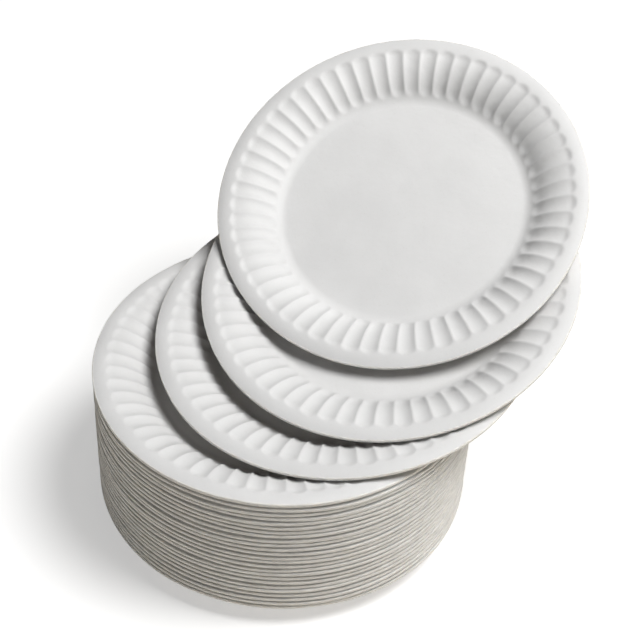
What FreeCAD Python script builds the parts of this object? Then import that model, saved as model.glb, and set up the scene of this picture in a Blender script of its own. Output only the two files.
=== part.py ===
import FreeCAD, Part
import math
import os

# A stack of fluted paper plates, in millimetres.
# Twenty-five plates lie nested in a neat stack and three more are fanned out on top of it.
# The origin is the centre of the face that the lowest plate rests on, with +Z up.
# The walls are smooth sheets over rings of control points, so they run a little inside these sizes.

# One plate
plate_radius = 115.0        # centre to the cut edge
board = 2.0                 # thickness of the moulded board
floor_radius = 73.5         # flat centre
foot_blend = 10.0           # radius of the bend from the flat centre into the wall
wall_angle = 52.0           # slope where the foot bend runs into the wall, in degrees
rim_width = 6.5             # from the highest line of the rim out to the cut edge
rim_curl = 12.0             # radius of the bend that turns the rim down to the cut edge

# Its flutes
flute_count = 58
flute_depth = 1.3
flute_margin = 1.5          # plain band between the flutes and the highest line of the rim

# The neat stack
stacked_plates = 25
nest_gap = 0.24             # upright gap between the walls of two nested plates, where they are steepest
loose_gap = 0.3             # how much more some of the plates stand off
loose_rhythm = 2.4          # how the looser plates follow each other, in radians a plate

# The fanned plates, from the lowest to the topmost, each placed on the plate beneath it
fan_slides = (41.0, 38.0, 54.0)          # how far each is pushed to the side
fan_directions = (28.0, 43.0, 80.0)      # which way it is pushed, in degrees from +X
fan_leans = (21.0, 21.0, -6.0)           # how far its high side lies round from that way, in degrees
fan_turns = (2.0, 4.5, 1.0)              # how far it is turned about its own axis, in degrees
seat_gap = 0.3                           # gap where a fanned plate rests on the one beneath it

# How finely the curved sheets are described, and a seat is looked for
points_per_flute = 4
sheet_degree = 3
net_passes = 24             # rounds of pulling a ring of control points onto its flutes
seat_rings = 24             # rings of places on a plate where its seat is tried
places_per_flute = 4        # such places on each ring
widest_tilt = 20.0          # tilts are tried up to this, in degrees
tilt_step = 0.01            # and found to within this

steepest = math.radians(wall_angle)
crest_radius = plate_radius - rim_width
flute_outer = crest_radius - flute_margin
flute_inner = floor_radius + foot_blend * math.sin(steepest)
wall_sweep = (crest_radius - flute_inner) / math.sin(steepest)
crest_height = board + (foot_blend + wall_sweep) * (1 - math.cos(steepest))
nest_pitch = board / math.cos(steepest) + nest_gap


def section_at(radius):
    """Height and slope of the upper face at a radius, before the flutes are pressed in."""
    if radius <= floor_radius:
        return board, 0.0
    if radius <= flute_inner:
        slope = math.asin((radius - floor_radius) / foot_blend)
        return board + foot_blend * (1 - math.cos(slope)), slope
    if radius <= crest_radius:
        slope = math.asin((crest_radius - radius) / wall_sweep)
        return crest_height - wall_sweep * (1 - math.cos(slope)), slope
    slope = math.asin(min(1.0, (radius - crest_radius) / rim_curl))
    return crest_height - rim_curl * (1 - math.cos(slope)), -slope


def flute_press(radius, across):
    """Depth of a flute at a radius; across runs from -1 to 1 from one ridge to the next."""
    half_width = math.pi * radius / flute_count
    past_inner = flute_inner + half_width - radius
    past_outer = radius - flute_outer + half_width
    past_end = max(past_inner, past_outer, 0.0) / half_width
    return flute_depth * max(0.0, 1 - across ** 2 - past_end ** 2)


def net_through(values):
    """Control values whose smooth closed curve passes through the given values."""
    net = list(values)
    for _ in range(net_passes):
        passed = [(net[k - 1] + 4 * net[k] + net[(k + 1) % len(net)]) / 6 for k in range(len(net))]
        net = [control + value - reached for control, value, reached in zip(net, values, passed)]
    return net


def sheet_radii():
    """Radii of the rows of control points, closest where the section or the flutes change most."""
    reach = flute_outer - flute_inner
    return (
        floor_radius - foot_blend / 3,
        floor_radius,
        (floor_radius + flute_inner) / 2,
        flute_inner,
        flute_inner + reach / 5,
        flute_outer - reach / 5,
        flute_outer,
        crest_radius + rim_width / 2,
        plate_radius,
    )


def row_of_points(radius, below):
    """One ring of control points of the upper face, or of the face that lies below it by the board."""
    height, slope = section_at(radius)
    if radius == plate_radius:
        bend = rim_curl - below
        slope = -math.asin(rim_width / bend)
        height = crest_height - rim_curl + bend * math.cos(slope)
        below = 0.0
    across = [2 * k / points_per_flute - 1 for k in range(points_per_flute)]
    pressed = net_through([flute_press(radius, place) for place in across] * 3)
    points = []
    for k in range(flute_count * points_per_flute):
        azimuth = 2 * math.pi * k / (flute_count * points_per_flute)
        depth = below + pressed[points_per_flute + k % points_per_flute]
        reach = radius + depth * math.sin(slope)
        points.append(FreeCAD.Vector(
            reach * math.cos(azimuth), reach * math.sin(azimuth), height - depth * math.cos(slope)))
    return points


def moulded_sheet(below):
    """The wall and rim as one smooth face, from the edge of the flat centre to the cut edge."""
    rows = [row_of_points(radius, below) for radius in sheet_radii()]
    spans_out = len(rows) - sheet_degree
    spans_round = len(rows[0])
    knots_out = [sheet_degree + 1] + [1] * (spans_out - 1) + [sheet_degree + 1]
    knots_round = [1] * (spans_round + 1)
    surface = Part.BSplineSurface()
    surface.buildFromPolesMultsKnots(
        rows, knots_out, knots_round, list(range(spans_out + 1)), list(range(spans_round + 1)),
        False, True, sheet_degree, sheet_degree)
    return surface


def ring_edges(sheet):
    """The inner and the outer round edge of a sheet."""
    rings = [edge for edge in sheet.Edges if edge.isClosed()]
    return sorted(rings, key=lambda edge: edge.Length)


def fluted_plate(upper_sheet, lower_sheet):
    """One plate, with the underside of its flat centre at height 0."""
    upper = upper_sheet.toShape()
    lower = lower_sheet.toShape()
    upper_inner, upper_outer = ring_edges(upper)
    lower_inner, lower_outer = ring_edges(lower)
    cut_edge = Part.makeRuledSurface(upper_outer, lower_outer)
    centre_top = Part.Face(Part.Wire([upper_inner]))
    centre_bottom = Part.Face(Part.Wire([lower_inner]))
    shell = Part.makeCompound([upper, lower, cut_edge, centre_top, centre_bottom])
    shell.sewShape()
    return Part.makeSolid(shell)


def rings_on(sheet):
    """Rings of points on a sheet, from its inner to its outer edge."""
    _, out_end, _, round_end = sheet.bounds()
    steps = places_per_flute * flute_count
    rings = []
    for i in range(seat_rings + 1):
        rings.append([sheet.value(out_end * i / seat_rings, round_end * k / steps) for k in range(steps)])
    return rings


def ridge_line(upper_sheet):
    """Radius and height along the ridges between the flutes."""
    line = []
    for ring in rings_on(upper_sheet):
        highest = max(ring, key=lambda point: point.z)
        line.append((math.hypot(highest.x, highest.y), highest.z))
    return line


def height_at(line, radius):
    """Height of the ridge line at a radius; the flat centre lies at the height of its first point."""
    for (inner, low), (outer, high) in zip(line, line[1:]):
        if inner <= radius <= outer:
            return low + (high - low) * (radius - inner) / (outer - inner)
    return line[0][1]


def leaning(tilt, high_side):
    """Turn that lifts a plate's side at the azimuth high_side by tilt, both in degrees."""
    side = math.radians(high_side)
    axis = FreeCAD.Vector(math.sin(side), -math.cos(side), 0)
    return FreeCAD.Rotation(axis, tilt)


def height_to_clear(slide, turn, underside, line):
    """Height at which a plate, turned and slid to the side, just touches the plate beneath it."""
    height = 0.0
    for point in underside:
        moved = turn.multVec(point) + slide
        radius = math.hypot(moved.x, moved.y)
        if radius <= plate_radius:
            height = max(height, height_at(line, radius) - moved.z)
    return height


def seated(slide_length, direction, lean, underside, line, balance_height):
    """Place of a slid plate on the one beneath: the tilt at which its balance point lies lowest."""
    way = math.radians(direction)
    slide = FreeCAD.Vector(slide_length * math.cos(way), slide_length * math.sin(way), 0)

    def balance(tilt):
        turn = leaning(tilt, direction + lean)
        clear = height_to_clear(slide, turn, underside, line)
        return clear + balance_height * math.cos(math.radians(tilt))

    low, high = 0.0, widest_tilt
    golden = (math.sqrt(5) - 1) / 2
    while high - low > tilt_step:
        left = high - golden * (high - low)
        right = low + golden * (high - low)
        if balance(left) < balance(right):
            high = right
        else:
            low = left
    turn = leaning(low, direction + lean)
    slide.z = height_to_clear(slide, turn, underside, line) + seat_gap
    return FreeCAD.Placement(slide, turn)


def stack_heights():
    """Height of each nested plate above the lowest one; some stand off a little more than others."""
    heights = [0.0]
    for k in range(1, stacked_plates):
        looseness = loose_gap * (1 + math.sin(loose_rhythm * k)) / 2
        heights.append(heights[-1] + nest_pitch + looseness)
    return heights


def fan_places(lowest, underside, line, balance_height):
    """Placements of the fanned plates, each carried by the one before."""
    places = []
    carrier = lowest
    for slide, direction, lean in zip(fan_slides, fan_directions, fan_leans):
        carrier = carrier.multiply(seated(slide, direction, lean, underside, line, balance_height))
        places.append(carrier)
    return places


def write_node(shape, placement, name):
    """Writes one plate as its own file."""
    placed = shape.copy()
    placed.Placement = placement
    placed.exportStep("parts/" + name + ".step")


def main():
    os.makedirs("parts", exist_ok=True)
    upper_sheet = moulded_sheet(0.0)
    lower_sheet = moulded_sheet(board)
    plate = fluted_plate(upper_sheet, lower_sheet)
    heights = stack_heights()
    upright = FreeCAD.Rotation()
    for number, height in enumerate(heights, start=1):
        place = FreeCAD.Placement(FreeCAD.Vector(0, 0, height), upright)
        write_node(plate, place, "stack_plate_%02d" % number)
    top_of_stack = FreeCAD.Placement(FreeCAD.Vector(0, 0, heights[-1]), upright)
    underside = [point for ring in rings_on(lower_sheet) for point in ring]
    places = fan_places(top_of_stack, underside, ridge_line(upper_sheet), plate.CenterOfMass.z)
    for number, (place, turn) in enumerate(zip(places, fan_turns), start=1):
        own_turn = FreeCAD.Placement(FreeCAD.Vector(), FreeCAD.Rotation(FreeCAD.Vector(0, 0, 1), turn))
        write_node(plate, place.multiply(own_turn), "fanned_plate_%d" % number)


main()
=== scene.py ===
import math

import bpy
import numpy as np
from mathutils import Matrix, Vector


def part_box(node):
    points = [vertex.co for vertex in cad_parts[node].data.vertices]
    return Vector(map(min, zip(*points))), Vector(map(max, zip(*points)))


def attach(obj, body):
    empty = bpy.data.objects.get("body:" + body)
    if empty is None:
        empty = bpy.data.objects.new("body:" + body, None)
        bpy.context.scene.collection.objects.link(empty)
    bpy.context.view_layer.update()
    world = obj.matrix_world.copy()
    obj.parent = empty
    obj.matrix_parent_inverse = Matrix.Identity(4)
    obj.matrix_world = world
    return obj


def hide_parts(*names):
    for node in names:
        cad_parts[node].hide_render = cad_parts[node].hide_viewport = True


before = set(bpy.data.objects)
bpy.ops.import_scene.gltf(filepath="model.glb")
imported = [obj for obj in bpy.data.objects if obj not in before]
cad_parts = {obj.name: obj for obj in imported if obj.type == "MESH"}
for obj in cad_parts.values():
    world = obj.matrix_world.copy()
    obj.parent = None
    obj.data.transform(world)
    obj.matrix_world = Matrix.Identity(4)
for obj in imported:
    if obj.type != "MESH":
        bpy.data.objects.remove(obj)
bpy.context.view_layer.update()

# One plate, in metres. The wall and the rim are flatter than in the source of the solids,
# because the sheets of the solids run a little inside its sizes.
PLATE_RADIUS = 0.115
BOARD = 0.0020
FLOOR_RADIUS = 0.0735
FOOT_BLEND = 0.010              # radius of the bend from the flat centre into the wall
WALL_ANGLE = math.radians(49.2)
RIM_WIDTH = 0.0065              # from the highest line of the rim out to the cut edge
RIM_CURL = 0.022                # radius of the bend that turns the rim down
CORNER = 0.0005                 # rounded upper corner of the cut edge

# Its flutes
FLUTES = 58
FLUTE_DEPTH = 0.0013
FLUTE_MARGIN = 0.0015           # plain band between the flutes and the highest line of the rim
INNER_OVERRUN = 0.0012          # how far they run down into the foot bend
OUTER_SHORTFALL = 0.0003        # how much sooner they end below the rim
OUTER_WANDER = 0.0003           # how much that differs from flute to flute
INNER_END = 0.80                # length of a round end, in half widths of the flute
OUTER_END = 0.72
UNEVEN_PRESS = 0.10             # how much the depth differs from flute to flute, as a share
ODD_RHYTHM = 2.4                # how both differences go on round the plate, in radians a flute
SOFT_RIDGE = 0.05               # softness of the ridges; at 0 they would be knife edges

CREST_RADIUS = PLATE_RADIUS - RIM_WIDTH
FLUTE_OUTER = CREST_RADIUS - FLUTE_MARGIN
FLUTE_INNER = FLOOR_RADIUS + FOOT_BLEND * math.sin(WALL_ANGLE)
WALL_SWEEP = (CREST_RADIUS - FLUTE_INNER) / math.sin(WALL_ANGLE)
CREST_HEIGHT = BOARD + (FOOT_BLEND + WALL_SWEEP) * (1 - math.cos(WALL_ANGLE))

# The rounded corner and the cut edge, from top to bottom: share of the board's thickness, and
# reach beyond the end of the rim
CUT_EDGE = [
    (0.0, 0.0),
    (0.13 * CORNER / BOARD, 0.50 * CORNER),
    (0.50 * CORNER / BOARD, 0.87 * CORNER),
    (CORNER / BOARD, CORNER),
    (0.6, CORNER),
    (0.92, 0.9 * CORNER),
    (1.0, 0.6 * CORNER),
]

# How finely a plate is divided: points a flute, radii of the rows on the flat centre, and the
# numbers of rows on foot, wall and rim going out on top, and on rim, wall and foot coming back
FINE = (12, (0.015, 0.035, 0.055, 0.068), (9, 24, 6), (4, 12, 4))
PLAIN = (4, (0.05,), (3, 7, 3), (3, 5, 2))
OUTWARDS = (FLOOR_RADIUS, FLUTE_INNER, FLUTE_OUTER, PLATE_RADIUS - 2 * CORNER)
INWARDS = (PLATE_RADIUS, FLUTE_OUTER, FLUTE_INNER, FLOOR_RADIUS)
BACK_CENTRE = 0.05              # radius of the innermost row on the underside

# How a plate strays from its mould: number of waves, how often the first one fits round the
# plate, and what is added to the plate's seed
LIFT_WAVES = (12, 1, 0)
SWELL_WAVES = (14, 3, 500)
OUTLINE_WAVES = (6, 1, 900)
WAVE_FALL = 0.6                 # how fast the shorter waves weaken
RIM_POWER = 6                   # how closely all of it keeps to the rim
OUTLINE_WANDER = 0.00030        # in and out, in metres
OUTLINE_INSET = 0.00034         # keeps the outline inside that of the solid
OPEN_RIM_WAVE = 0.0002          # up and down, in metres, on the plates that lie open
NESTED_RIM_WAVE = 0.0007        # and on the plates beneath them
LEAST_SWELLING = 0.08           # swelling of the nested board, as a share of its thickness
SWELLING_RANGE = 0.24
FAN_SWELLING = 0.10
GOLDEN = (math.sqrt(5) - 1) / 2
STACK_SEED = 10
FAN_SEED = 60

# Places of the fanned plates, as in the solids: foot of the axis in metres, then in degrees
# the tilt, the azimuth of the high side, and the turn about the plate's own axis
FAN = {
    "fanned_plate_1": ((0.03620, 0.01925, 0.10367), 8.12, 49.0, 2.0),
    "fanned_plate_2": ((0.06231, 0.04323, 0.12435), 15.52, 56.3, 4.5),
    "fanned_plate_3": ((0.06818, 0.09136, 0.15301), 26.09, 63.9, 1.0),
}

# The flatter rims would touch sooner than those of the solids, so each fanned plate is
# lifted by this much off the one beneath
SEAT_LIFT = 0.00013

# Tones of the paper, and the shares of them in the darkest parts of its patterns
PAPER_TONE = (0.72, 0.72, 0.72)
EDGE_TONE = (0.90, 0.885, 0.855)
# painted shade: the underside is darker and warmer than the face, which deepens the shadows
# beneath the fanned plates
BACK_TONE_WITH_PAINTED_SHADE = (0.64, 0.60, 0.54)
CLOUD_SHADE = 0.965
STREAK_SHADE = 0.72
FLECK_SHADE = (0.93, 0.92, 0.90)
FLECK_SHARE = 0.5               # of the fleck's shade, where a fleck is strongest

# Its patterns: noise, and how the space that it fills is scaled and turned
CLOUDS = {"scale": 38.0, "detail": 3.0}
FLECKS = {"scale": 900.0, "detail": 2.0}
LUMPS = {"scale": 160.0, "detail": 3.0}
FIBRES = {"scale": 1500.0, "detail": 3.0, "distortion": 1.2,
          "spread": (1.0, 0.35, 1.0), "turned": (0.0, 0.0, 0.7)}
STREAKS = {"scale": 230.0, "detail": 4.0, "roughness": 0.65, "spread": (0.5, 0.5, 13.0)}
TONE_BAND = (0.35, 0.65)        # values of the noise between which the tone changes
FLECK_BAND = (0.60, 0.75)
GLOSS_BAND = (0.3, 0.7)
ROUGHNESS = (0.50, 0.60)
ROUGHER_EDGE = 0.3              # added to the roughness on the cut edge
SPECULAR = 0.35

# Light that soaks into the cut edge, with distances in metres
SOAK_SHARE = 0.8
SOAK_COLOURS = (1.0, 0.96, 0.90)
SOAK_DISTANCE = 0.0018

# Bump: heights as shares of its distance, which is in metres
LUMP_HEIGHT = 1.4
FIBRE_HEIGHT = 0.22
STREAK_HEIGHT = 0.8
BUMP_STRENGTH = 0.35
BUMP_DISTANCE = 0.00035

# Floor
FLOOR_REACH = 6.0
FLOOR_DROP = 0.0002             # below the lowest plate, so that no two faces coincide
FLOOR_BOUNCE = (0.88, 0.84, 0.77)
FLOOR_TONE = (0.8, 0.8, 0.8)
FLOOR_GLOW = 0.45               # glow that the camera sees near the part; further away it is 1
GLOW_BAND = (0.4, 1.6)          # distances between which it grows

# Light: where the key light stands as seen from the part, in degrees, and the lamps in metres
LIGHT_AZIMUTH = -12.0
LIGHT_HEIGHT = 66.0
LIGHT_WAY = (
    math.cos(math.radians(LIGHT_HEIGHT)) * math.cos(math.radians(LIGHT_AZIMUTH)),
    math.cos(math.radians(LIGHT_HEIGHT)) * math.sin(math.radians(LIGHT_AZIMUTH)),
    math.sin(math.radians(LIGHT_HEIGHT)),
)
KEY_SIZE = 0.9
KEY_POWER = 29.5
KEY_COLOUR = (1.0, 0.995, 0.985)
FRONT_WAY = (-0.25, -0.92, 0.30)
FRONT_SIZE = 0.8
FRONT_POWER = 1.0
FRONT_COLOUR = (1.0, 0.98, 0.95)
LAMP_DISTANCE = 1.6
LAMP_AIM = (0.03, 0.03, 0.12)
DOME_DIM = 0.0
DOME_BRIGHT = 0.10
WHITE = (1.0, 1.0, 1.0)

# Camera, in metres and degrees, with lens and sensor in millimetres
CAMERA_PLACE = (0.01949, -0.70226, 0.75891)
CAMERA_PITCH = 41.437
CAMERA_ROLL = 2.731
CAMERA_LENS = 90.20
SENSOR_WIDTH = 36.0
CLIP_START = 0.01


def section(radius):
    """Height and slope of the upper face at each radius, before the flutes."""
    height = np.full(radius.shape, BOARD)
    slope = np.zeros(radius.shape)
    foot = (radius > FLOOR_RADIUS) & (radius <= FLUTE_INNER)
    slope[foot] = np.arcsin((radius[foot] - FLOOR_RADIUS) / FOOT_BLEND)
    height[foot] = BOARD + FOOT_BLEND * (1 - np.cos(slope[foot]))
    wall = (radius > FLUTE_INNER) & (radius <= CREST_RADIUS)
    slope[wall] = np.arcsin((CREST_RADIUS - radius[wall]) / WALL_SWEEP)
    height[wall] = CREST_HEIGHT - WALL_SWEEP * (1 - np.cos(slope[wall]))
    rim = radius > CREST_RADIUS
    slope[rim] = -np.arcsin((radius[rim] - CREST_RADIUS) / RIM_CURL)
    height[rim] = CREST_HEIGHT - RIM_CURL * (1 - np.cos(slope[rim]))
    return height, slope


def scallop(radius, azimuth, seed):
    """Depth of the flutes: hollows with round ends and soft ridges, none quite like the next."""
    half_width = math.pi * radius / FLUTES
    place = azimuth * FLUTES / (2 * math.pi)
    odd = np.sin(ODD_RHYTHM * np.floor(place) + seed)
    across = (place % 1.0) * 2 - 1
    inner_length = INNER_END * half_width
    outer_length = OUTER_END * half_width
    inner_limit = FLUTE_INNER - INNER_OVERRUN
    outer_limit = FLUTE_OUTER - OUTER_SHORTFALL + OUTER_WANDER * odd
    inner_end = np.maximum(inner_limit + inner_length - radius, 0) / inner_length
    outer_end = np.maximum(radius - outer_limit + outer_length, 0) / outer_length
    past = np.maximum(inner_end, outer_end)
    inside = 1 - across ** 2 - past ** 2
    rounded = 0.5 * (inside + np.sqrt(inside ** 2 + SOFT_RIDGE ** 2))
    rounded = rounded - 0.5 * (np.sqrt(1 + SOFT_RIDGE ** 2) - 1)
    return FLUTE_DEPTH * (1 + UNEVEN_PRESS * odd) * np.clip(rounded, 0, None)


def waves(azimuth, seed, kind, strength):
    """A slow closed wobble round the plate, up to a given strength."""
    count, first, seed_step = kind
    rng = np.random.default_rng(seed + seed_step)
    total = np.zeros(azimuth.shape)
    for k in range(count):
        height = 1 / (1 + k) ** WAVE_FALL * rng.normal()
        total += height * np.cos((first + k) * azimuth + rng.uniform(0, 2 * math.pi))
    return strength * total / np.abs(total).max()


def rows_between(radii, counts):
    """Radii of evenly spaced rows on each stretch from one radius to the next."""
    rows = []
    for start, end, count in zip(radii, radii[1:], counts):
        rows += list(np.linspace(start, end, count + 1)[1:])
    return rows


def plate_rings(seed, division, rim_wave, swelling):
    """Rings of points on the upper face, the cut edge and the underside, in the plate's frame."""
    per_flute, centre, rows_up, rows_down = division
    steps = FLUTES * per_flute
    azimuth = 2 * math.pi * np.arange(steps) / steps
    lift = waves(azimuth, seed, LIFT_WAVES, rim_wave) - rim_wave
    swollen = 0.5 * swelling + waves(azimuth, seed, SWELL_WAVES, 0.5 * swelling)
    uneven = waves(azimuth, seed, OUTLINE_WAVES, OUTLINE_WANDER) - OUTLINE_INSET

    def around(radius, height):
        return np.stack([radius * np.cos(azimuth), radius * np.sin(azimuth), height], axis=1)

    def ring(radius, below):
        radii = np.full(azimuth.shape, radius)
        height, slope = section(radii)
        reach = (radius - FLOOR_RADIUS) / (PLATE_RADIUS - FLOOR_RADIUS)
        loose = np.clip(reach, 0, 1) ** RIM_POWER
        depth = below * (1 + loose * swollen) + scallop(radii, azimuth, seed)
        return around(radii + depth * np.sin(slope) + loose * uneven,
                      height - depth * np.cos(slope) + loose * lift)

    upper = [ring(radius, 0.0)
             for radius in (*centre, FLOOR_RADIUS, *rows_between(OUTWARDS, rows_up))]
    lower = [ring(radius, BOARD) for radius in (*rows_between(INWARDS, rows_down), BACK_CENTRE)]
    # The cut edge is upright, with the upper corner rounded by the punch
    top = ring(PLATE_RADIUS - CORNER, 0.0)
    bottom = ring(PLATE_RADIUS - CORNER, BOARD)
    rim = np.hypot(top[:, 0], top[:, 1])
    cut = [around(rim + out, top[:, 2] * (1 - share) + bottom[:, 2] * share)
           for share, out in CUT_EDGE]
    return upper, cut, lower


def mark(mesh, name, first, last):
    """Marks a run of points, so that the material can find them."""
    marks = np.zeros(len(mesh.vertices))
    marks[first:last] = 1.0
    attribute = mesh.attributes.new(name, "FLOAT", "POINT")
    attribute.data.foreach_set("value", marks)


def plate_mesh(name, upper, cut, lower):
    """A closed smooth mesh over the rings, with its cut edge and its underside marked."""
    rings = upper + cut + lower
    vertices = np.concatenate([[[0, 0, BOARD]]] + rings + [[[0, 0, 0.0]]])
    steps = len(rings[0])
    k = np.arange(steps)
    after = (k + 1) % steps
    last = 1 + (len(rings) - 1) * steps
    faces = np.stack([np.zeros(steps, int), 1 + k, 1 + after], axis=1).tolist()
    for start in range(1, last, steps):
        end = start + steps
        faces += np.stack([start + k, end + k, end + after, start + after], axis=1).tolist()
    faces += np.stack([np.full(steps, len(vertices) - 1), last + after, last + k], axis=1).tolist()
    mesh = bpy.data.meshes.new(name)
    mesh.from_pydata(vertices.tolist(), [], faces)
    mesh.polygons.foreach_set("use_smooth", [True] * len(mesh.polygons))
    mesh.update()
    edge_start = 1 + steps * len(upper)
    edge_end = edge_start + steps * len(cut)
    mark(mesh, "cut_edge", edge_start, edge_end)
    mark(mesh, "underside", edge_end, len(vertices))
    return mesh


def placed(axes, place):
    """Matrix of a thing at a place, with the columns of axes as its own axes."""
    matrix = np.eye(4)
    matrix[:3, :3] = axes
    matrix[:3, 3] = place
    return matrix


def turn(axis, angle):
    """Turn about an axis by an angle in radians."""
    x, y, z = axis
    skew = np.array([[0, -z, y], [z, 0, -x], [-y, x, 0]])
    return np.eye(3) + math.sin(angle) * skew + (1 - math.cos(angle)) * skew @ skew


def fan_axes(tilt, high_side, own_turn):
    """Axes of a fanned plate, from angles in degrees."""
    side = math.radians(high_side)
    lean = turn((math.sin(side), -math.cos(side), 0.0), math.radians(tilt))
    return lean @ turn((0.0, 0.0, 1.0), math.radians(own_turn))


def dress(node, place, seed, division, rim_wave, swelling, material):
    """Builds one plate and puts it where its solid lies."""
    mesh = plate_mesh(node + "_paper", *plate_rings(seed, division, rim_wave, swelling))
    points = np.empty(len(mesh.vertices) * 3)
    mesh.vertices.foreach_get("co", points)
    points = points.reshape(-1, 3) @ place[:3, :3].T + place[:3, 3]
    mesh.vertices.foreach_set("co", points.ravel())
    mesh.update()
    mesh.materials.append(material)
    piece = bpy.data.objects.new(node + "_paper", mesh)
    bpy.context.scene.collection.objects.link(piece)
    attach(piece, "root")
    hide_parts(node)


def feed(tree, node, inputs):
    """Links inputs of a node to the outputs of others, or sets them to constants."""
    for name, value in inputs.items():
        if isinstance(value, bpy.types.NodeSocket):
            tree.links.new(value, node.inputs[name])
        else:
            node.inputs[name].default_value = value


def add_node(tree, kind, inputs, **settings):
    """Adds a node with its settings and inputs."""
    node = tree.nodes.new(kind)
    for name, value in settings.items():
        setattr(node, name, value)
    feed(tree, node, inputs)
    return node


def colour(tone, shade=1.0):
    """A tone, or a share of it, as a colour for a socket."""
    return (*(shade * part for part in tone), 1)


def remap(tree, source, band, result, **settings):
    """Maps one band of values onto another."""
    inputs = {"Value": source, "From Min": band[0], "From Max": band[1],
              "To Min": result[0], "To Max": result[1]}
    return add_node(tree, "ShaderNodeMapRange", inputs, **settings).outputs["Result"]


def calculate(tree, kind, first, second):
    """Adds or multiplies two values."""
    inputs = {0: first, 1: second}
    return add_node(tree, "ShaderNodeMath", inputs, operation=kind).outputs[0]


def mix(tree, factor, first, second, **settings):
    """Mixes two colours."""
    inputs = {"Factor": factor, "A": first, "B": second}
    node = add_node(tree, "ShaderNodeMix", inputs, data_type="RGBA", **settings)
    return node.outputs["Result"]


def noise(tree, place, scale, detail, roughness=0.5, distortion=0.0, spread=None,
          turned=(0.0, 0.0, 0.0)):
    """A noise pattern; spread and turned change the space that it fills."""
    if spread:
        inputs = {"Vector": place, "Scale": spread, "Rotation": turned}
        place = add_node(tree, "ShaderNodeMapping", inputs).outputs["Vector"]
    inputs = {"Vector": place, "Scale": scale, "Detail": detail,
              "Roughness": roughness, "Distortion": distortion}
    return add_node(tree, "ShaderNodeTexNoise", inputs).outputs["Fac"]


def show_camera(tree, output, others, camera_shader):
    """Ends a tree with one shader for the camera and another for all other rays."""
    rays = add_node(tree, "ShaderNodeLightPath", {}).outputs["Is Camera Ray"]
    pick = add_node(tree, "ShaderNodeMixShader", {"Fac": rays, 1: others, 2: camera_shader})
    feed(tree, tree.nodes[output], {"Surface": pick.outputs["Shader"]})


def paper(name):
    """White moulded paper: smooth pressed faces, a raw cut edge, and a back with painted shade,
    darker and warmer than the face.
    """
    material = bpy.data.materials.new(name)
    material.use_nodes = True
    tree = material.node_tree
    place = add_node(tree, "ShaderNodeTexCoord", {}).outputs["Object"]
    edge = add_node(tree, "ShaderNodeAttribute", {}, attribute_name="cut_edge").outputs["Fac"]
    back = add_node(tree, "ShaderNodeAttribute", {}, attribute_name="underside").outputs["Fac"]
    clouds = noise(tree, place, **CLOUDS)
    streaks = noise(tree, place, **STREAKS)

    # Faint clouds and flecks on the pressed face, painted shade on the back, streaks on the cut
    # edge
    cloudy = mix(tree, remap(tree, clouds, TONE_BAND, (0.0, 1.0)),
                 colour(PAPER_TONE, CLOUD_SHADE), colour(PAPER_TONE))
    flecks = remap(tree, noise(tree, place, **FLECKS), FLECK_BAND, (0.0, FLECK_SHARE))
    pressed = mix(tree, flecks, cloudy, colour(FLECK_SHADE), blend_type="MULTIPLY")
    # The underside takes its darker, warmer tone here: painted shade under the plates
    faces = mix(tree, back, pressed, colour(BACK_TONE_WITH_PAINTED_SHADE))
    raw = mix(tree, remap(tree, streaks, TONE_BAND, (0.0, 1.0)),
              colour(EDGE_TONE, STREAK_SHADE), colour(EDGE_TONE))

    lumps = calculate(tree, "MULTIPLY", noise(tree, place, **LUMPS), LUMP_HEIGHT)
    fibres = calculate(tree, "MULTIPLY", noise(tree, place, **FIBRES), FIBRE_HEIGHT)
    ragged = calculate(tree, "MULTIPLY", streaks, STREAK_HEIGHT)
    relief = calculate(tree, "ADD", calculate(tree, "ADD", lumps, fibres),
                       calculate(tree, "MULTIPLY", ragged, edge))
    bump = add_node(tree, "ShaderNodeBump", {
        "Height": relief, "Strength": BUMP_STRENGTH, "Distance": BUMP_DISTANCE})

    feed(tree, tree.nodes["Principled BSDF"], {
        "Base Color": mix(tree, edge, faces, raw),
        "Roughness": calculate(tree, "ADD", remap(tree, clouds, GLOSS_BAND, ROUGHNESS),
                               calculate(tree, "MULTIPLY", edge, ROUGHER_EDGE)),
        "Specular IOR Level": SPECULAR,
        "Subsurface Weight": calculate(tree, "MULTIPLY", edge, SOAK_SHARE),
        "Subsurface Radius": SOAK_COLOURS,
        "Subsurface Scale": SOAK_DISTANCE,
        "Normal": bump.outputs["Normal"],
    })
    return material


def build_floor():
    """A floor with a soft shadow near the part, white far off, that bounces warm light."""
    square = ((-1, -1), (1, -1), (1, 1), (-1, 1))
    corners = [(x * FLOOR_REACH, y * FLOOR_REACH, -FLOOR_DROP) for x, y in square]
    mesh = bpy.data.meshes.new("floor")
    mesh.from_pydata(corners, [], [(0, 1, 2, 3)])
    floor = bpy.data.objects.new("floor", mesh)
    bpy.context.scene.collection.objects.link(floor)
    paint = bpy.data.materials.new("floor_paint")
    paint.use_nodes = True
    tree = paint.node_tree
    tree.nodes.remove(tree.nodes["Principled BSDF"])
    place = add_node(tree, "ShaderNodeNewGeometry", {}).outputs["Position"]
    away = add_node(tree, "ShaderNodeVectorMath", {0: place}, operation="LENGTH")
    glow = remap(tree, away.outputs["Value"], GLOW_BAND, (FLOOR_GLOW, 1.0),
                 interpolation_type="SMOOTHSTEP")
    warm = add_node(tree, "ShaderNodeBsdfDiffuse", {"Color": colour(FLOOR_BOUNCE)})
    pale = add_node(tree, "ShaderNodeBsdfDiffuse", {"Color": colour(FLOOR_TONE)})
    lit = add_node(tree, "ShaderNodeEmission", {"Strength": glow})
    both = add_node(tree, "ShaderNodeAddShader", {
        0: pale.outputs["BSDF"], 1: lit.outputs["Emission"]})
    show_camera(tree, "Material Output", warm.outputs["BSDF"], both.outputs["Shader"])
    mesh.materials.append(paint)


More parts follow.
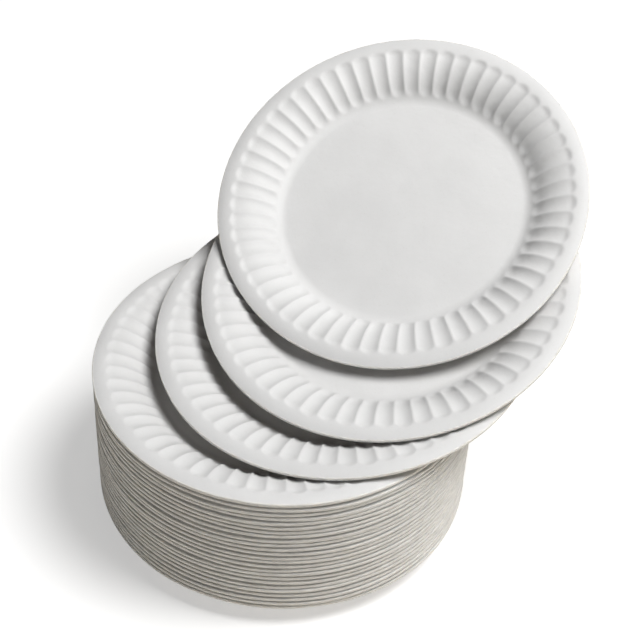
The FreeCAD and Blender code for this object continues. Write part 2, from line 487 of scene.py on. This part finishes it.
def build_surroundings():
    """A dome that is brightest towards the key light, and plain white to the camera."""
    world = bpy.data.worlds.new("studio")
    bpy.context.scene.world = world
    world.use_nodes = True
    tree = world.node_tree
    direction = add_node(tree, "ShaderNodeTexCoord", {}).outputs["Generated"]
    towards = add_node(tree, "ShaderNodeVectorMath", {0: direction, 1: LIGHT_WAY},
                       operation="DOT_PRODUCT")
    strength = remap(tree, towards.outputs["Value"], (-1.0, 1.0), (DOME_DIM, DOME_BRIGHT))
    dome = tree.nodes["Background"]
    feed(tree, dome, {"Color": colour(WHITE), "Strength": strength})
    seen = add_node(tree, "ShaderNodeBackground", {"Color": colour(WHITE), "Strength": 1.0})
    show_camera(tree, "World Output", dome.outputs["Background"], seen.outputs["Background"])


def lamp(name, direction, size, power, tint):
    """A round soft lamp that faces the part from a direction."""
    data = bpy.data.lights.new(name, "AREA")
    data.shape = "DISK"
    data.size = size
    data.energy = power
    data.color = tint
    item = bpy.data.objects.new(name, data)
    bpy.context.scene.collection.objects.link(item)
    place = np.array(LAMP_AIM) + LAMP_DISTANCE * np.array(direction)
    way = place - np.array(LAMP_AIM)
    way = way / np.linalg.norm(way)
    side = np.cross((0, 0, 1), way)
    side = side / np.linalg.norm(side)
    axes = np.column_stack([side, np.cross(way, side), way])
    item.matrix_world = Matrix(placed(axes, place).tolist())


def build_camera():
    """The camera at the photograph's place, pitched down and rolled as it was."""
    data = bpy.data.cameras.new("camera")
    camera = bpy.data.objects.new("camera", data)
    bpy.context.scene.collection.objects.link(camera)
    bpy.context.scene.camera = camera
    data.lens = CAMERA_LENS
    data.sensor_width = SENSOR_WIDTH
    data.clip_start = CLIP_START
    pitch = math.radians(CAMERA_PITCH)
    roll = math.radians(CAMERA_ROLL)
    right = np.array([1.0, 0.0, 0.0])
    down = np.array([0.0, -math.sin(pitch), -math.cos(pitch)])
    forward = np.array([0.0, math.cos(pitch), -math.sin(pitch)])
    rolled_right = math.cos(roll) * right - math.sin(roll) * down
    rolled_up = -(math.sin(roll) * right + math.cos(roll) * down)
    axes = np.column_stack([rolled_right, rolled_up, -forward])
    camera.matrix_world = Matrix(placed(axes, CAMERA_PLACE).tolist())


white = paper("white_paper")
stack_nodes = sorted(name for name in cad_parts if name.startswith("stack_plate"))
for number, name in enumerate(stack_nodes):
    low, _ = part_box(name)
    place = placed(np.eye(3), (0.0, 0.0, low[2]))
    swelling = LEAST_SWELLING + SWELLING_RANGE * ((number * GOLDEN) % 1.0)
    if number == len(stack_nodes) - 1:
        dress(name, place, STACK_SEED + number, FINE, OPEN_RIM_WAVE, swelling, white)
    else:
        dress(name, place, STACK_SEED + number, PLAIN, NESTED_RIM_WAVE, swelling, white)
for number, (name, (foot, tilt, high_side, own_turn)) in enumerate(FAN.items()):
    lifted = np.array(foot) + (0.0, 0.0, (number + 1) * SEAT_LIFT)
    place = placed(fan_axes(tilt, high_side, own_turn), lifted)
    dress(name, place, FAN_SEED + number, FINE, OPEN_RIM_WAVE, FAN_SWELLING, white)

build_floor()
build_surroundings()
lamp("key", LIGHT_WAY, KEY_SIZE, KEY_POWER, KEY_COLOUR)
lamp("front", FRONT_WAY, FRONT_SIZE, FRONT_POWER, FRONT_COLOUR)
build_camera()
bpy.context.scene.view_settings.view_transform = "Standard"
